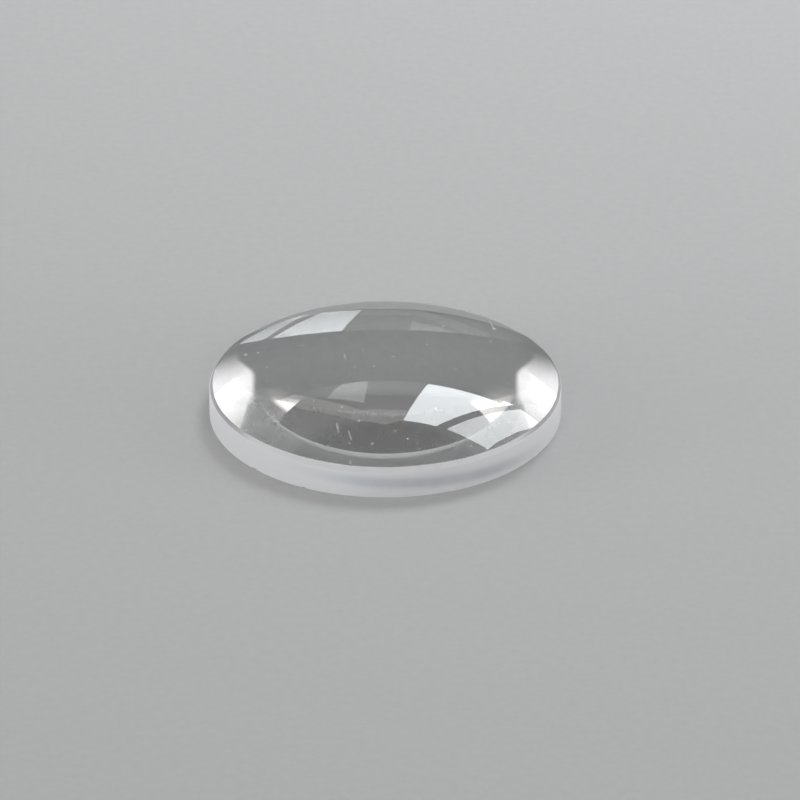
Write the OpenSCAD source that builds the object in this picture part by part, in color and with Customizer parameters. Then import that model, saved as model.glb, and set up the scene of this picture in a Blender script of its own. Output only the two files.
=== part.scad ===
// Plano-convex lens: one piece of clear optical glass.
// One face is flat and polished, the other is a polished spherical dome.
// The edge is a fine-ground cylinder with a small protective bevel at each rim.
// Units are millimetres. Z is the optical axis and the flat face lies on Z = 0.

/* [Lens] */
// Outside diameter of the ground edge
lens_d = 25.4; // [10:0.1:46]
// Radius of curvature of the convex face
convex_r = 30.9; // [18:0.1:200]
// Edge thickness, from the flat face to where the dome would meet the full diameter
edge_t = 2.3; // [1:0.05:8]

/* [Bevels] */
// Radial width of the bevel between the edge and the convex face
dome_bevel_w = 0.22; // [0.05:0.01:0.5]
// Axial height of the bevel between the edge and the convex face
dome_bevel_h = 0.31; // [0.15:0.01:0.8]
// Leg of the 45 degree bevel between the edge and the flat face
flat_bevel = 0.08; // [0.02:0.01:0.5]

/* [Hidden] */
$fn = 180;

// Height of a dome of radius convex_r above its rim at a given distance from the axis
function dome_height(rim_r) = convex_r - sqrt(convex_r * convex_r - rim_r * rim_r);

edge_r = lens_d / 2;
centre_t = edge_t + dome_height(edge_r);

// Clear aperture of the dome, inside its bevel, and the height at which it ends
dome_rim_r = edge_r - dome_bevel_w;
dome_rim_z = centre_t - dome_height(dome_rim_r);

// Top of the ground cylinder, where the dome's bevel starts
shoulder_z = dome_rim_z - dome_bevel_h;

// The bevel's cone is carried on to the axis, clear above the dome that trims it
cone_tip_z = dome_rim_z + dome_rim_r * dome_bevel_h / dome_bevel_w;

// Edged blank: flat face, ground cylinder and both bevels, before the dome is worked
module edged_blank() {
    rotate_extrude()
        polygon([
            [0, 0],
            [edge_r - flat_bevel, 0],
            [edge_r, flat_bevel],
            [edge_r, shoulder_z],
            [dome_rim_r, dome_rim_z],
            [0, cone_tip_z]
        ]);
}

// Ball whose surface is the convex face
module convex_ball() {
    translate([0, 0, centre_t - convex_r])
        sphere(r = convex_r);
}

module lens() {
    color([0.86, 0.92, 0.93, 0.35])
        intersection() {
            edged_blank();
            convex_ball();
        }
}

lens();
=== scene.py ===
# %% [markdown]
# # A plano-convex lens of clear glass
# The lens is one disc of optical glass, 25.4 mm across. One side is flat, and the lens lies on it.
# The other side is a shallow dome. Both are polished until they are clear.
# The rim is only ground, so it is milky white, with a narrow ground bevel where it meets each side.
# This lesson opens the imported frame, models the lens as one closed surface, gives it its two finishes,
# and lights it as a small studio would.

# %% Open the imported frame
import math

import bpy
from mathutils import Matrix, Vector


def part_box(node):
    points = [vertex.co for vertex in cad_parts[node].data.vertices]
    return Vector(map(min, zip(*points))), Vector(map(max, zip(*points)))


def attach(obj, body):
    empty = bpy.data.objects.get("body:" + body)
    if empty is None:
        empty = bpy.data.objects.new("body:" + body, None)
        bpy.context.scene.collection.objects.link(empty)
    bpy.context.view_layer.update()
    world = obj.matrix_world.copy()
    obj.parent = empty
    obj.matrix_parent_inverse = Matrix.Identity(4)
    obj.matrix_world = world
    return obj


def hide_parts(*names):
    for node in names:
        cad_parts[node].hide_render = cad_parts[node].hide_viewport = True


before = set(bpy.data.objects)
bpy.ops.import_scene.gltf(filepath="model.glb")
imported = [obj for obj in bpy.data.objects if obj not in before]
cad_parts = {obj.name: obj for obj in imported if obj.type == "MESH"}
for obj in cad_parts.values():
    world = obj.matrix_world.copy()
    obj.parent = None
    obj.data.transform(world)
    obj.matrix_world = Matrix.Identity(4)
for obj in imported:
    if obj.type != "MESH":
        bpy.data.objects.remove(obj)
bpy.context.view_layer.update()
lens_low, lens_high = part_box("lens")
MM = 0.001

# %% [markdown]
# Shader and geometry trees hold many small sums. Laying each one out by hand hides what it says, so
# two small helpers come first: a wire, which is a socket that Python can add and multiply, and a
# bench, which puts nodes into one tree.

# %% A wire that can be used in sums
class Wire:
    """One output socket, which Python can add, subtract, multiply, divide and compare."""

    def __init__(self, bench, socket):
        self.bench = bench
        self.socket = socket

    def out(self, name):
        return Wire(self.bench, self.socket.node.outputs[name])

    def __add__(self, other):
        return self.bench.sum("ADD", self, other)

    def __radd__(self, other):
        return self.bench.sum("ADD", other, self)

    def __sub__(self, other):
        return self.bench.sum("SUBTRACT", self, other)

    def __rsub__(self, other):
        return self.bench.sum("SUBTRACT", other, self)

    def __mul__(self, other):
        return self.bench.sum("MULTIPLY", self, other)

    def __rmul__(self, other):
        return self.bench.sum("MULTIPLY", other, self)

    def __truediv__(self, other):
        return self.bench.sum("DIVIDE", self, other)

    def __rtruediv__(self, other):
        return self.bench.sum("DIVIDE", other, self)

    def __gt__(self, other):
        return self.bench.sum("GREATER_THAN", self, other)

    def __lt__(self, other):
        return self.bench.sum("LESS_THAN", self, other)


# %% A bench that lays out nodes
class Bench:
    """Adds nodes to one tree: settings first, then the values or wires of the sockets."""

    def __init__(self, tree):
        self.tree = tree

    def node(self, kind, settings=None, sockets=None, output=0):
        made = self.tree.nodes.new(kind)
        for name, value in (settings or {}).items():
            setattr(made, name, value)
        for name, value in (sockets or {}).items():
            if isinstance(value, Wire):
                self.tree.links.new(value.socket, made.inputs[name])
            else:
                made.inputs[name].default_value = value
        return Wire(self, made.outputs[output]) if made.outputs else None

    def sum(self, operation, *values):
        return self.node("ShaderNodeMath", {"operation": operation}, dict(enumerate(values)))

    def vector(self, operation, *values, output="Vector"):
        settings = {"operation": operation}
        return self.node("ShaderNodeVectorMath", settings, dict(enumerate(values)), output)

    def stretch(self, vector, factor):
        settings = {"operation": "SCALE"}
        return self.node("ShaderNodeVectorMath", settings, {"Vector": vector, "Scale": factor})

    def ease(self, value, start, end, low=0.0, high=1.0, kind="SMOOTHSTEP"):
        sockets = {"Value": value, "From Min": start, "From Max": end, "To Min": low, "To Max": high}
        return self.node("ShaderNodeMapRange", {"interpolation_type": kind}, sockets, "Result")


def cleared(tree):
    tree.nodes.clear()
    return Bench(tree)


# %% [markdown]
# The camera stands in front of the lens and looks down on it at about 29 degrees, from far enough
# away that the near and the far rim keep almost the same scale. A long focal length then fills the
# frame.

# %% Place the camera
LOOK_DOWN = math.radians(28.9)
CAMERA_AWAY = 600 * MM
FRAME_WIDTH = 57.81 * MM
AIM_RIGHT = 1.06 * MM
AIM_UP = 0.83 * MM

view_line = Vector((0, math.cos(LOOK_DOWN), -math.sin(LOOK_DOWN)))
view_up = Vector((0, math.sin(LOOK_DOWN), math.cos(LOOK_DOWN)))
aim = Vector((AIM_RIGHT, 0, 0)) + view_up * AIM_UP

camera_data = bpy.data.cameras.new("camera")
camera_data.sensor_width = 36
camera_data.lens = camera_data.sensor_width * CAMERA_AWAY / FRAME_WIDTH
camera = bpy.data.objects.new("camera", camera_data)
camera.location = aim - view_line * CAMERA_AWAY
camera.rotation_euler = (math.pi / 2 - LOOK_DOWN, 0, 0)
bpy.context.scene.collection.objects.link(camera)
bpy.context.scene.camera = camera
print("focal length in mm:", round(camera_data.lens, 1))

# %% [markdown]
# Polished glass is almost nothing but its two surfaces: it bends what lies behind it and mirrors a
# little of the room. A Principled shader with full transmission does that. Its index is assumed: it
# is that of ordinary crown glass, the most common glass for a plain lens. What makes glass look real
# is what lies on it: a very thin film of wiped dust that scatters a trace of light, and single
# specks. They are patterns on Object coordinates, mixed in as a matt white shader, so they cost no
# geometry and stay where they are when the view moves. Wiping draws dust out, so its patterns are
# twice as long along Y as along X.

# %% Measures shared by both finishes
CROWN_GLASS_IOR = 1.517
GLASS_TINT = (0.985, 0.992, 0.988, 1)
DUST_WHITE = (0.82, 0.8, 0.76, 1)


def new_finish(name):
    made = bpy.data.materials.new(name)
    made.use_nodes = True
    return made, cleared(made.node_tree)


def in_millimetres(bench):
    place = bench.node("ShaderNodeTexCoord", output="Object")
    return bench.stretch(place, 1 / MM)


# %% Dust on the polished dome
def specks(bench, place, cell, size, kept, seed_shift):
    """Round specks, one in some of the cells of a flat Voronoi pattern seen from above."""
    shifted = bench.vector("ADD", place, seed_shift)
    settings = {"voronoi_dimensions": "2D", "feature": "F1"}
    sockets = {"Vector": shifted, "Scale": 1 / cell}
    cells = bench.node("ShaderNodeTexVoronoi", settings, sockets, "Distance")
    chance = bench.node("ShaderNodeSeparateColor", sockets={"Color": cells.out("Color")})
    grown = size * (0.45 + 0.9 * chance.out("Green")) / cell
    near = 1 - bench.ease(cells / grown, 0.7, 1.1)
    return near * (chance < kept)


def clump(bench, place, centre, reach):
    """One soft speck, placed by its x and y in mm."""
    away = bench.vector("DISTANCE", place, (*centre, 0), output="Value")
    return 1 - bench.ease(away, reach * 0.4, reach)


def fibre(bench, place, start, end, reach):
    """A thin straight fibre between two places."""
    along = (end[0] - start[0], end[1] - start[1], 0)
    span = along[0] ** 2 + along[1] ** 2
    from_start = bench.vector("SUBTRACT", place, (*start, 0))
    progress = bench.vector("DOT_PRODUCT", from_start, along, output="Value")
    share = bench.ease(progress, 0, span, kind="LINEAR")
    nearest = bench.stretch(along, share)
    away = bench.vector("DISTANCE", from_start, nearest, output="Value")
    return 1 - bench.ease(away, reach * 0.4, reach)


polished_glass, bench = new_finish("polished_glass")
place = in_millimetres(bench)
axes = bench.node("ShaderNodeSeparateXYZ", sockets={"Vector": place})
from_above = bench.vector("MULTIPLY", place, (1, 1, 0))
wiped = bench.vector("MULTIPLY", place, (1, 0.5, 0))
past_middle = bench.ease(axes.out("Y"), -8, 1, 0.03, 1.0)
before_far_edge = bench.ease(axes.out("Y"), 5.5, 7.5, 1.0, 0.04)
far_half = past_middle * before_far_edge
on_dome = bench.ease(axes.out("Z"), 0.5, 1.5)

FINE_CELL, FINE_SIZE, FINE_KEPT = 0.42, 0.042, 0.12
LARGE_CELL, LARGE_SIZE, LARGE_KEPT = 1.3, 0.07, 0.08
fine_specks = specks(bench, wiped, FINE_CELL, FINE_SIZE, far_half * FINE_KEPT, (3.1, 7.7, 0))
large_specks = specks(bench, wiped, LARGE_CELL, LARGE_SIZE, far_half * LARGE_KEPT, (11.3, 2.9, 0))

# %% The film of wiped dust
THINNEST_FILM, THICKEST_FILM = 0.004, 0.035
film_noise = bench.node(
    "ShaderNodeTexNoise",
    sockets={"Vector": wiped, "Scale": 1.3, "Detail": 2, "Roughness": 0.6},
)
film_behind = bench.ease(axes.out("Y"), -10.5, 0, 0.08, 1.0)
film_before_edge = bench.ease(axes.out("Y"), 6, 8.5, 1.0, 0.4)
film_share = film_behind * film_before_edge
film = bench.ease(film_noise, 0.4, 0.66, THINNEST_FILM, THICKEST_FILM) * film_share

# %% The specks and fibres that are placed one by one
# Each spot is its x and y, and its reach, in mm.
SPOTS = (
    ((7.90, 6.50), 0.22),
    ((7.70, 9.70), 0.14),
    ((5.20, 8.90), 0.13),
    ((3.00, 7.30), 0.11),
    ((7.60, 3.50), 0.12),
    ((4.20, 4.90), 0.15),
    ((0.60, -0.90), 0.13),
    ((-6.00, 1.90), 0.13),
    ((-10.10, 2.70), 0.17),
    ((-9.20, 2.40), 0.14),
    ((-2.90, -0.60), 0.12),
    ((-1.60, 0.10), 0.11),
    ((-2.20, -2.20), 0.10),
    ((-0.80, -2.20), 0.12),
    ((-2.60, 1.40), 0.09),
    ((1.60, -10.00), 0.09),
    ((-2.60, -4.90), 0.07),
)
# Each fibre is its two ends, and its reach, in mm.
FIBRES = (
    ((7.55, 8.60), (7.88, 6.60), 0.08),
    ((-2.60, -9.20), (-2.40, -10.00), 0.06),
    ((-2.95, -0.20), (-2.85, -1.10), 0.07),
)
FIBRE_STRENGTH = 0.7
PLACED_STRENGTH = 0.8
PATTERN_STRENGTH = 0.5
placed = 0.0
for centre, reach in SPOTS:
    placed = bench.sum("MAXIMUM", placed, clump(bench, from_above, centre, reach))
for start, end, reach in FIBRES:
    placed = bench.sum("MAXIMUM", placed, fibre(bench, from_above, start, end, reach) * FIBRE_STRENGTH)
print("placed specks:", len(SPOTS), "and fibres:", len(FIBRES))

patterned = bench.sum("MAXIMUM", fine_specks * PATTERN_STRENGTH, large_specks * PATTERN_STRENGTH)
all_specks = bench.sum("MAXIMUM", patterned, placed * PLACED_STRENGTH)
dust = (all_specks + film) * on_dome

# %% Mix the dust over clear glass
clear = bench.node(
    "ShaderNodeBsdfPrincipled",
    sockets={
        "Base Color": GLASS_TINT,
        "Roughness": 0.0,
        "IOR": CROWN_GLASS_IOR,
        "Transmission Weight": 1.0,
    },
)
dust_front = bench.node("ShaderNodeBsdfDiffuse", sockets={"Color": DUST_WHITE})
dust_through = bench.node("ShaderNodeBsdfTranslucent", sockets={"Color": DUST_WHITE})
matt_dust = bench.node("ShaderNodeMixShader", sockets={0: 0.4, 1: dust_front, 2: dust_through})
dusty = bench.node("ShaderNodeMixShader", sockets={0: dust, 1: clear, 2: matt_dust})
bench.node("ShaderNodeOutputMaterial", sockets={"Surface": dusty})
print("polished_glass:", len(polished_glass.node_tree.nodes), "nodes")

# %% [markdown]
# Ground glass is the same glass with a surface of tiny pits. Each pit sends light another way, so
# the rim looks white and hides what is behind it. A rough glass shader alone stays too clear, so it
# is mixed with a matt white part that passes light and a matt white part that throws it back. A fine
# noise drives the bump, and a slower one varies how densely the rim is ground.
# Along the front a soft streak is less milky and a little grey. The grey is painted shade,
# where the front of the rim gets less light than its two ends.
# At both ends the top of the bevel is darker: a painted dark reflection of the surroundings.
# Both are in the finish alone: the shape there is plain.

# %% The ground rim
ground_glass, bench = new_finish("ground_glass")
place = in_millimetres(bench)
grit = bench.node("ShaderNodeTexNoise", sockets={"Vector": place, "Scale": 11, "Detail": 4})
slow = bench.node("ShaderNodeTexNoise", sockets={"Vector": place, "Scale": 0.9, "Detail": 3})
pits = bench.node(
    "ShaderNodeBump",
    sockets={"Strength": 0.25, "Distance": 0.02 * MM, "Height": grit},
    output="Normal",
)

# %% Where the rim is less milky, with painted shade
axes = bench.node("ShaderNodeSeparateXYZ", sockets={"Vector": place})
# The streak below is painted shade: the front of the rim gets less light than its ends.
STREAK_MIDDLE = 14
STREAK_HEIGHT = 1.24
STREAK_FALL = 0.0104
from_front = bench.sum("ARCTAN2", axes.out("X"), 0 - axes.out("Y")) * math.degrees(1)
shade_streak_height = STREAK_HEIGHT - STREAK_FALL * from_front
shade_streak_side = bench.ease(bench.sum("ABSOLUTE", from_front - STREAK_MIDDLE), 20, 62, 1.0, 0.0)
shade_streak_band = bench.ease(bench.sum("ABSOLUTE", axes.out("Z") - shade_streak_height), 0.1, 0.8, 1.0, 0.0)
on_bevel = bench.ease(axes.out("Z"), 1.88, 1.98)
painted_front_shade = shade_streak_side * (0.3 + 0.7 * shade_streak_band) * (1 - on_bevel)

# %% The rim's shaders
CLEAN_PASS = (1, 1, 1, 1)
# The grey that the streak passes is painted shade.
PAINTED_SHADE_GREY = (0.38, 0.41, 0.46, 1)
# A Mix node's colours are its sockets 6 and 7, and its mixed colour is output 2.
passed_light = bench.node(
    "ShaderNodeMix",
    {"data_type": "RGBA"},
    {"Factor": painted_front_shade, 6: CLEAN_PASS, 7: PAINTED_SHADE_GREY},
    2,
)
rough_glass = bench.node(
    "ShaderNodeBsdfPrincipled",
    sockets={
        "Base Color": passed_light,
        "Roughness": 0.6,
        "IOR": CROWN_GLASS_IOR,
        "Transmission Weight": 1.0,
        "Normal": pits,
    },
)
MILK = (0.9, 0.9, 0.915, 1)
milky_back = bench.node("ShaderNodeBsdfDiffuse", sockets={"Color": MILK, "Normal": pits})
milky_through = bench.node("ShaderNodeBsdfTranslucent", sockets={"Color": MILK, "Normal": pits})
milky = bench.node("ShaderNodeMixShader", sockets={0: 0.5, 1: milky_back, 2: milky_through})
# Along the painted shade streak the rim is also less milky.
density = bench.ease(slow + 0.25 * grit, 0.4, 0.85, 0.72, 0.84) - 0.5 * painted_front_shade
milky_rim = bench.node("ShaderNodeMixShader", sockets={0: density, 1: rough_glass, 2: milky})
# At both ends a dark diffuse on the top of the bevel is a painted dark reflection of the surroundings.
PAINTED_BEVEL_REFLECTION = (0.2, 0.19, 0.21, 1)
painted_dark_bevel = bench.node("ShaderNodeBsdfDiffuse", sockets={"Color": PAINTED_BEVEL_REFLECTION})
BEVEL_DARKNESS = 0.6
top_of_bevel = bench.ease(axes.out("Z"), 2.12, 2.2)
at_ends = bench.ease(bench.sum("ABSOLUTE", axes.out("X")), 9, 11.2)
painted_reflection_share = top_of_bevel * at_ends * BEVEL_DARKNESS
whole_rim = bench.node("ShaderNodeMixShader", sockets={0: painted_reflection_share, 1: milky_rim, 2: painted_dark_bevel})
bench.node("ShaderNodeOutputMaterial", sockets={"Surface": whole_rim})
print("ground_glass:", len(ground_glass.node_tree.nodes), "nodes")

# %% [markdown]
# The lens is a surface of revolution, so its shape is a rule: walk once round the half section, and
# turn that walk round the axis. A Geometry Nodes tree does it with a flat grid. One side of the grid
# is the angle, the other is the walk: out along the flat face, round its bevel, up the rim, in over
# the dome bevel and over the dome to the middle. The named inputs are the sizes a lens maker uses.

# %% Sizes of the lens
EDGE_RADIUS = (lens_high.x - lens_low.x) / 2
MIDDLE_THICKNESS = lens_high.z - lens_low.z
LENS_SIZES = {
    "Edge radius": EDGE_RADIUS,
    "Convex radius": 30.9 * MM,
    "Middle thickness": MIDDLE_THICKNESS,
    "Dome bevel width": 0.22 * MM,
    "Dome bevel height": 0.31 * MM,
    "Flat bevel": 0.08 * MM,
}
COLUMNS = 1024
FLAT_ROWS, FLAT_BEVEL_ROWS, RIM_ROWS, DOME_BEVEL_ROWS, DOME_ROWS = 14, 4, 24, 6, 36
ALL_ROWS = FLAT_ROWS + FLAT_BEVEL_ROWS + RIM_ROWS + DOME_BEVEL_ROWS + DOME_ROWS
print("edge radius and middle in mm:", round(EDGE_RADIUS / MM, 3), round(MIDDLE_THICKNESS / MM, 3))

# %% The tree and its named inputs
lens_tree = bpy.data.node_groups.new("turned_lens", "GeometryNodeTree")
size_sockets = {}
for name, size in LENS_SIZES.items():
    socket = lens_tree.interface.new_socket(name, in_out="INPUT", socket_type="NodeSocketFloat")
    socket.default_value = size
    size_sockets[name] = socket.identifier
lens_tree.interface.new_socket("Geometry", in_out="OUTPUT", socket_type="NodeSocketGeometry")

bench = cleared(lens_tree)
given = bench.node("NodeGroupInput")
edge_radius = given.out("Edge radius")
convex_radius = given.out("Convex radius")
flat_bevel = given.out("Flat bevel")

grid = bench.node(
    "GeometryNodeMeshGrid",
    sockets={"Size X": 1.0, "Size Y": 1.0, "Vertices X": COLUMNS + 1, "Vertices Y": ALL_ROWS + 1},
    output="Mesh",
)
on_grid = bench.node("ShaderNodeSeparateXYZ", sockets={"Vector": bench.node("GeometryNodeInputPosition")})
angle = (on_grid.out("X") + 0.5) * math.tau
row = (on_grid.out("Y") + 0.5) * ALL_ROWS

# %% [markdown]
# A bevel that is ground by hand is never quite even: it is a little wider on one side, and it
# wanders. So its width depends on the angle, and the dome starts where the bevel ends.

# %% The uneven dome bevel
cosine = bench.sum("COSINE", angle)
sine = bench.sum("SINE", angle)
round_rim = bench.node("ShaderNodeCombineXYZ", sockets={"X": cosine, "Y": sine, "Z": 4.7})
wander = bench.node("ShaderNodeTexNoise", sockets={"Vector": round_rim, "Scale": 2.2, "Detail": 2})
WIDE_SIDE = math.radians(-125)
leaning = bench.sum("COSINE", angle - WIDE_SIDE)
unevenness = 1 + 0.16 * leaning + 0.5 * (wander - 0.5)
bevel_width = given.out("Dome bevel width") * unevenness
bevel_height = given.out("Dome bevel height") * unevenness
dome_edge = edge_radius - bevel_width
dome_turn = bench.sum("ARCSINE", dome_edge / convex_radius)
dome_drop = convex_radius * (1 - bench.sum("COSINE", dome_turn))
dome_edge_height = given.out("Middle thickness") - dome_drop


# %% Walk round the section
def share(first_row, rows):
    """How far the walk has come on one stretch, from 0 to 1."""
    return bench.ease(row, first_row, first_row + rows, kind="LINEAR")


first_rim_row = FLAT_ROWS + FLAT_BEVEL_ROWS
first_bevel_row = first_rim_row + RIM_ROWS
first_dome_row = first_bevel_row + DOME_BEVEL_ROWS
to_flat_edge = 1 - bench.sum("POWER", 1 - share(0, FLAT_ROWS), 2.5)
round_bevel = share(FLAT_ROWS, FLAT_BEVEL_ROWS)
up_rim = bench.sum("POWER", share(first_rim_row, RIM_ROWS), 1.5)
over_bevel = share(first_bevel_row, DOME_BEVEL_ROWS)
over_dome = dome_turn * (1 - share(first_dome_row, DOME_ROWS))

dome_run = dome_edge - convex_radius * bench.sum("SINE", over_dome)
dome_rise = dome_drop - convex_radius * (1 - bench.sum("COSINE", over_dome))
out_along_flat = (edge_radius - flat_bevel) * to_flat_edge
radius = out_along_flat + flat_bevel * round_bevel - bevel_width * over_bevel - dome_run
rim_rise = dome_edge_height - bevel_height - flat_bevel
height = flat_bevel * round_bevel + rim_rise * up_rim + bevel_height * over_bevel + dome_rise
turned = bench.node(
    "ShaderNodeCombineXYZ",
    sockets={"X": radius * cosine, "Y": radius * sine, "Z": height},
)

# %% [markdown]
# Glass chips in small shells where its edge is knocked. Each chip is a ball that bites into the
# rim: every point of the surface inside the ball is pushed out onto it, and a noise keeps the ball
# from being perfectly round.


# %% Chips in the rim
def bite(surface, turn, out, up, size):
    """Push the surface out of one ragged ball, placed by its angle, radius and height."""
    centre = (out * math.cos(turn), out * math.sin(turn), up)
    away = bench.vector("SUBTRACT", surface, centre)
    span = bench.vector("LENGTH", away, output="Value")
    ragged = bench.node("ShaderNodeTexNoise", sockets={"Vector": surface, "Scale": 9 / MM, "Detail": 2})
    reach = size * (0.72 + 0.56 * ragged)
    push = bench.sum("MAXIMUM", span, reach) / span
    return bench.vector("ADD", bench.stretch(away, push), centre)


# Each chip is its angle in degrees, then its distance from the axis, its height and its size in mm.
CHIPS = (
    (-137.4, 12.72, -0.03, 0.25),
    (-135.6, 12.74, -0.02, 0.18),
    (-117.2, 12.72, -0.04, 0.20),
    (-75.0, 12.80, 1.87, 0.15),
    (-64.0, 12.73, 0.00, 0.12),
)
chipped = turned
for turn, out, up, size in CHIPS:
    chipped = bite(chipped, math.radians(turn), out * MM, up * MM, size * MM)
print("chips:", len(CHIPS))

# %% Close the surface and give each zone its finish
walk = bench.node(
    "GeometryNodeStoreNamedAttribute",
    {"data_type": "FLOAT", "domain": "POINT"},
    {"Geometry": grid, "Name": "walk", "Value": row},
)
shaped = bench.node("GeometryNodeSetPosition", sockets={"Geometry": walk, "Position": chipped})
closed = bench.node("GeometryNodeMergeByDistance", sockets={"Geometry": shaped, "Distance": 0.00002 * MM})
stored_row = bench.node(
    "GeometryNodeInputNamedAttribute",
    {"data_type": "FLOAT"},
    {"Name": "walk"},
    "Attribute",
)
is_ground = (stored_row > FLAT_ROWS) * (stored_row < first_dome_row)
corner = bench.node("GeometryNodeInputMeshEdgeAngle", output="Unsigned Angle") > math.radians(18)
smooth = bench.node(
    "GeometryNodeSetShadeSmooth",
    {"domain": "FACE"},
    {"Geometry": closed, "Shade Smooth": True},
)
creased = bench.node(
    "GeometryNodeSetShadeSmooth",
    {"domain": "EDGE"},
    {"Geometry": smooth, "Selection": corner, "Shade Smooth": False},
)
realized = bench.node("GeometryNodeRealizeInstances", sockets={"Geometry": creased})
all_clear = bench.node("GeometryNodeSetMaterial", sockets={"Geometry": realized, "Material": polished_glass})
finished = bench.node(
    "GeometryNodeSetMaterial",
    sockets={"Geometry": all_clear, "Selection": is_ground, "Material": ground_glass},
)
bench.node("NodeGroupOutput", sockets={"Geometry": finished})

# %% Turn the tree into a plain mesh
lens = bpy.data.objects.new("turned_lens", bpy.data.meshes.new("turned_lens"))
bpy.context.scene.collection.objects.link(lens)
turning = lens.modifiers.new("turning", "NODES")
turning.node_group = lens_tree
for name, identifier in size_sockets.items():
    turning[identifier] = LENS_SIZES[name]
settled = bpy.context.evaluated_depsgraph_get()
lens_mesh = bpy.data.meshes.new_from_object(lens.evaluated_get(settled), depsgraph=settled)
lens.modifiers.clear()
lens.data = lens_mesh
if lens_mesh.materials[0] is None:
    lens_mesh.materials.pop(index=0)
triangles = sum(len(face.vertices) - 2 for face in lens_mesh.polygons)
print("turned_lens:", len(lens_mesh.vertices), "points,", triangles, "triangles")
for index, finish in enumerate(lens_mesh.materials):
    print(finish.name, sum(face.material_index == index for face in lens_mesh.polygons), "faces")

# %% Ride on the frame
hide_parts("lens")
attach(lens, "root")

# %% [markdown]
# The floor is a plain pale card. It lies a hair below the lens, because a real card is never in
# full contact with polished glass, and the thin layer of air lets the flat face mirror.

# %% The floor
FLOOR_GREY = 0.46
FLOOR_HALF = 2.0
AIR_GAP = 0.02 * MM

floor_finish, bench = new_finish("pale_card")
place = in_millimetres(bench)
paper = bench.node("ShaderNodeTexNoise", sockets={"Vector": place, "Scale": 1.6, "Detail": 4})
shade = bench.ease(paper, 0.3, 0.7, FLOOR_GREY * 0.985, FLOOR_GREY * 1.015)
card_grey = bench.node("ShaderNodeCombineColor", sockets={"Red": shade, "Green": shade, "Blue": shade})
card = bench.node("ShaderNodeBsdfDiffuse", sockets={"Color": card_grey})
bench.node("ShaderNodeOutputMaterial", sockets={"Surface": card})

floor_sides = ((-1, -1), (1, -1), (1, 1), (-1, 1))
corners = [(x * FLOOR_HALF, y * FLOOR_HALF, lens_low.z - AIR_GAP) for x, y in floor_sides]
floor_mesh = bpy.data.meshes.new("floor")
floor_mesh.from_pydata(corners, [], [(0, 1, 2, 3)])
floor_mesh.materials.append(floor_finish)
floor = bpy.data.objects.new("floor", floor_mesh)
bpy.context.scene.collection.objects.link(floor)

# %% [markdown]
# A lens shows the room it stands in, so the room is part of its look. The world holds the far part of
# the studio: a dim all-round glow, a lighter wall in front of the camera and one behind it, two warm
# corners, and on each side a wide soft lamp, a low strong one and a dim wall. Each is a patch of
# directions, so nothing has to be hidden from a camera that walks round.


# %% Patches of light in the world
def band(bench, value, low, high, softness):
    """1 between two values and 0 outside."""
    opening = bench.ease(value, low - softness, low + softness)
    closing = bench.ease(value, high - softness, high + softness, 1.0, 0.0)
    return opening * closing


def hill(bench, value, centre, reach):
    """1 at the centre, easing to 0 at the reach on both sides."""
    away = bench.sum("ABSOLUTE", value - centre)
    return bench.ease(away, 0.0, reach, 1.0, 0.0)


# %% The far studio
GLOW = 0.28
FAR_WALL = 0.7
LOW_LAMP = 17.0
SIDE_LAMP = 3.6
SIDE_WALL = 0.9
BACK_WALL = 1.15
# Each warm corner is its azimuth from and to, its elevation from and to, and its strength.
WARM_CORNERS = ((34, 57, 17, 36, 1.0), (-59, -30, -2, 32, 0.65))
WARM_WHITE = (1.0, 0.96, 0.92)

world = bpy.data.worlds.new("studio")
world.use_nodes = True
bench = cleared(world.node_tree)
look = bench.node("ShaderNodeTexCoord", output="Generated")
parts = bench.node("ShaderNodeSeparateXYZ", sockets={"Vector": look})
azimuth = bench.sum("ARCTAN2", parts.out("X"), parts.out("Y")) * math.degrees(1)
elevation = bench.sum("ARCSINE", parts.out("Z")) * math.degrees(1)
aside = bench.sum("ABSOLUTE", azimuth)

far_wall = FAR_WALL * band(bench, azimuth, -50, 50, 8) * band(bench, elevation, 44, 60, 3)
low_lamps = LOW_LAMP * band(bench, aside, 97, 118, 4) * bench.ease(elevation, 4, 9, 1.0, 0.0)
side_lamps = SIDE_LAMP * hill(bench, aside, 101, 26) * bench.ease(elevation, 4, 26, 1.0, 0.0)
side_walls = SIDE_WALL * hill(bench, aside, 92, 48) * bench.ease(elevation, 22, 46, 1.0, 0.0)
back_wall = BACK_WALL * bench.ease(aside, 118, 138) * band(bench, elevation, 25, 70, 8)
room = GLOW + far_wall + low_lamps + side_lamps + side_walls + back_wall
warm = 0.0
for azimuth_from, azimuth_to, low, high, strength in WARM_CORNERS:
    corner = band(bench, azimuth, azimuth_from, azimuth_to, 3) * band(bench, elevation, low, high, 3)
    warm = strength * corner + warm
underfoot = bench.ease(elevation, -0.5, 0.5)
channels = {}
for channel, share_of_warm in zip(("Red", "Green", "Blue"), WARM_WHITE):
    channels[channel] = (room + warm * share_of_warm) * underfoot + FLOOR_GREY * (1 - underfoot)
light = bench.node("ShaderNodeCombineColor", sockets=channels)
sky = bench.node("ShaderNodeBackground", sockets={"Color": light, "Strength": 1.0})
bench.node("ShaderNodeOutputWorld", sockets={"Surface": sky})
bpy.context.scene.world = world

# %% [markdown]
# Some things stand so near the lens that they can't be patches in a far world, because the dome and
# the flat face see them from places 20 mm apart: a plain board close behind the lens, whose top edge
# draws one line in the dome and one in the flat face, and the soft boxes that hang level over it.
# The glass sees both, the floor sees only the soft boxes, and the camera looks through them all.


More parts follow.
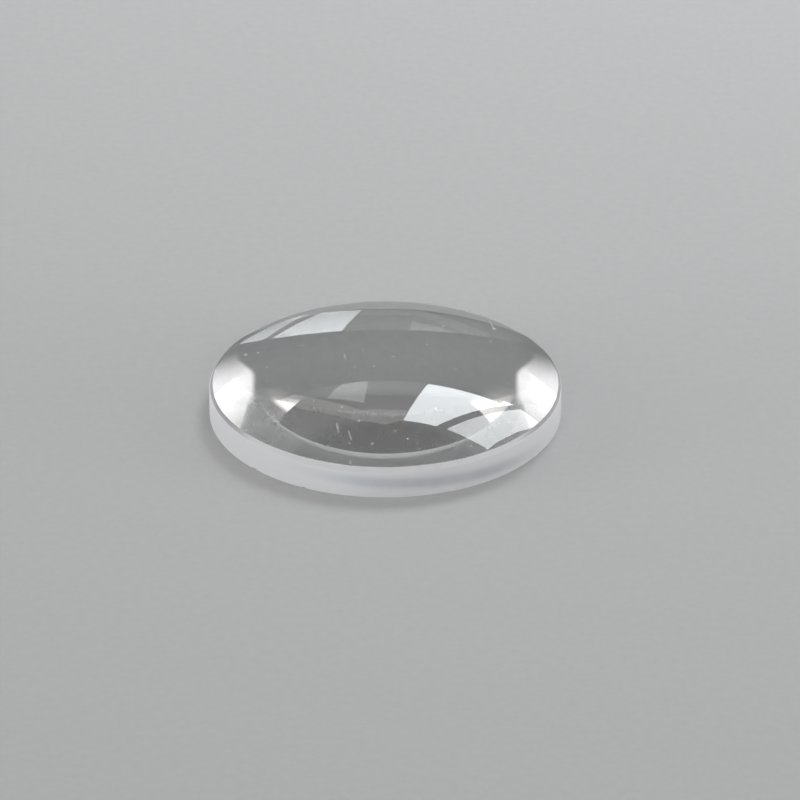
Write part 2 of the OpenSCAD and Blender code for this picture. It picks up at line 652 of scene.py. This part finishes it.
# %% A plain glowing sheet
def stand_sheet(name, corners, finish, lights_floor):
    """A flat stage piece that the camera doesn't see and that throws no shadow."""
    mesh = bpy.data.meshes.new(name)
    mesh.from_pydata(corners, [], [tuple(range(len(corners)))])
    mesh.materials.append(finish)
    made = bpy.data.objects.new(name, mesh)
    made.visible_camera = False
    made.visible_diffuse = lights_floor
    made.visible_shadow = False
    bpy.context.scene.collection.objects.link(made)
    return made


def sheet(name, corners, colour, strength, lights_floor):
    """A flat stage piece that glows evenly."""
    finish, bench = new_finish(name)
    even_glow = bench.node("ShaderNodeEmission", sockets={"Color": (*colour, 1), "Strength": strength})
    bench.node("ShaderNodeOutputMaterial", sockets={"Surface": even_glow})
    return stand_sheet(name, corners, finish, lights_floor)


# %% The board behind the lens
BOARD_GREY = 0.13
BOARD_BACK = 60 * MM
BOARD_LEFT = -39 * MM
BOARD_RIGHT = 40 * MM
BOARD_TOP = 66.5 * MM
board_outline = (
    (BOARD_LEFT, 0),
    (BOARD_RIGHT, 0),
    (BOARD_RIGHT, BOARD_TOP),
    (BOARD_LEFT, BOARD_TOP),
)
corners = [(x, BOARD_BACK, z) for x, z in board_outline]
sheet("board", corners, (1, 1, 1), BOARD_GREY, False)

# %% [markdown]
# Side light that bounces inside a lens can turn its two ends white. The lamps of this studio reach
# only the lower part of the ends, so a clear disc in the air under the flat face glows there. It is a
# trick of the stage and not how the glass works: seen from straight above, it shows as two patches.

# %% Light caught under the two ends
CAUGHT_LIGHT = 1.2
CAUGHT_COLOUR = (1, 0.98, 1, 1)
CAUGHT_RADIUS = 12.25 * MM
CAUGHT_CORNERS = 96
PATCH_START = 8.75
caught_finish, bench = new_finish("caught_light")
axes = bench.node("ShaderNodeSeparateXYZ", sockets={"Vector": in_millimetres(bench)})
sideways = bench.sum("ABSOLUTE", axes.out("X"))
depth = axes.out("Y")
curve_behind = bench.ease(depth, 1.6, 4.8, 0.0, 1.2)
curve_in_front = bench.ease(depth, -5.5, -1.0, 1.2, 0.0)
inner_edge = PATCH_START + curve_behind + curve_in_front
past_edge = bench.ease(sideways - inner_edge, -0.15, 0.35)
share_caught = past_edge * bench.ease(depth, 0.6, 5.9, 1.0, 0.0) * bench.ease(depth, -5.5, 1.2)
caught = bench.node("ShaderNodeEmission", sockets={"Color": CAUGHT_COLOUR, "Strength": CAUGHT_LIGHT})
clear_air = bench.node("ShaderNodeBsdfTransparent")
patches = bench.node("ShaderNodeMixShader", sockets={0: share_caught, 1: clear_air, 2: caught})
bench.node("ShaderNodeOutputMaterial", sockets={"Surface": patches})
half_gap = lens_low.z - AIR_GAP / 2
turns = [math.tau * step / CAUGHT_CORNERS for step in range(CAUGHT_CORNERS)]
corners = [(CAUGHT_RADIUS * math.cos(turn), CAUGHT_RADIUS * math.sin(turn), half_gap) for turn in turns]
stand_sheet("caught_light", corners, caught_finish, False)

# %% The soft boxes overhead
BOX_HEIGHT = 230 * MM
# Each soft box is the x and y of its corners in mm, its colour and its strength.
SOFT_BOXES = {
    "main_box": (((16.8, 122), (46.5, 245), (141, 245), (48.5, 117.6)), (0.93, 0.97, 1.0), 11.0),
    "side_box": (((59, 116), (150, 241), (176, 225), (101.8, 99.5)), (0.95, 0.98, 1.0), 8.0),
    "dim_box": (((-59, 190), (-40, 240), (-17, 240), (-21, 163)), (0.98, 0.99, 1.0), 2.6),
    "ceiling_strip": (
        (
            (16.8, 122),
            (0, 112),
            (-33, 126),
            (-84, 175),
            (-132, 255),
            (-120, 262),
            (-70, 196),
            (-25, 146),
            (20, 143),
        ),
        (1.0, 0.99, 0.97),
        1.8,
    ),
}
for name, (corners, colour, strength) in SOFT_BOXES.items():
    sheet(name, [(x * MM, y * MM, BOX_HEIGHT) for x, y in corners], colour, strength, True)
print("soft boxes:", len(SOFT_BOXES))

# %% [markdown]
# Light can bounce many times between the flat face and the dome before it leaves, and each bounce
# counts. With the usual limit the near side of the lens would go black.

# %% Let light bounce inside the glass
cycles = bpy.context.scene.cycles
cycles.max_bounces = 24
cycles.glossy_bounces = 20
cycles.transmission_bounces = 20
cycles.use_denoising = True
bpy.context.scene.view_settings.view_transform = "Standard"
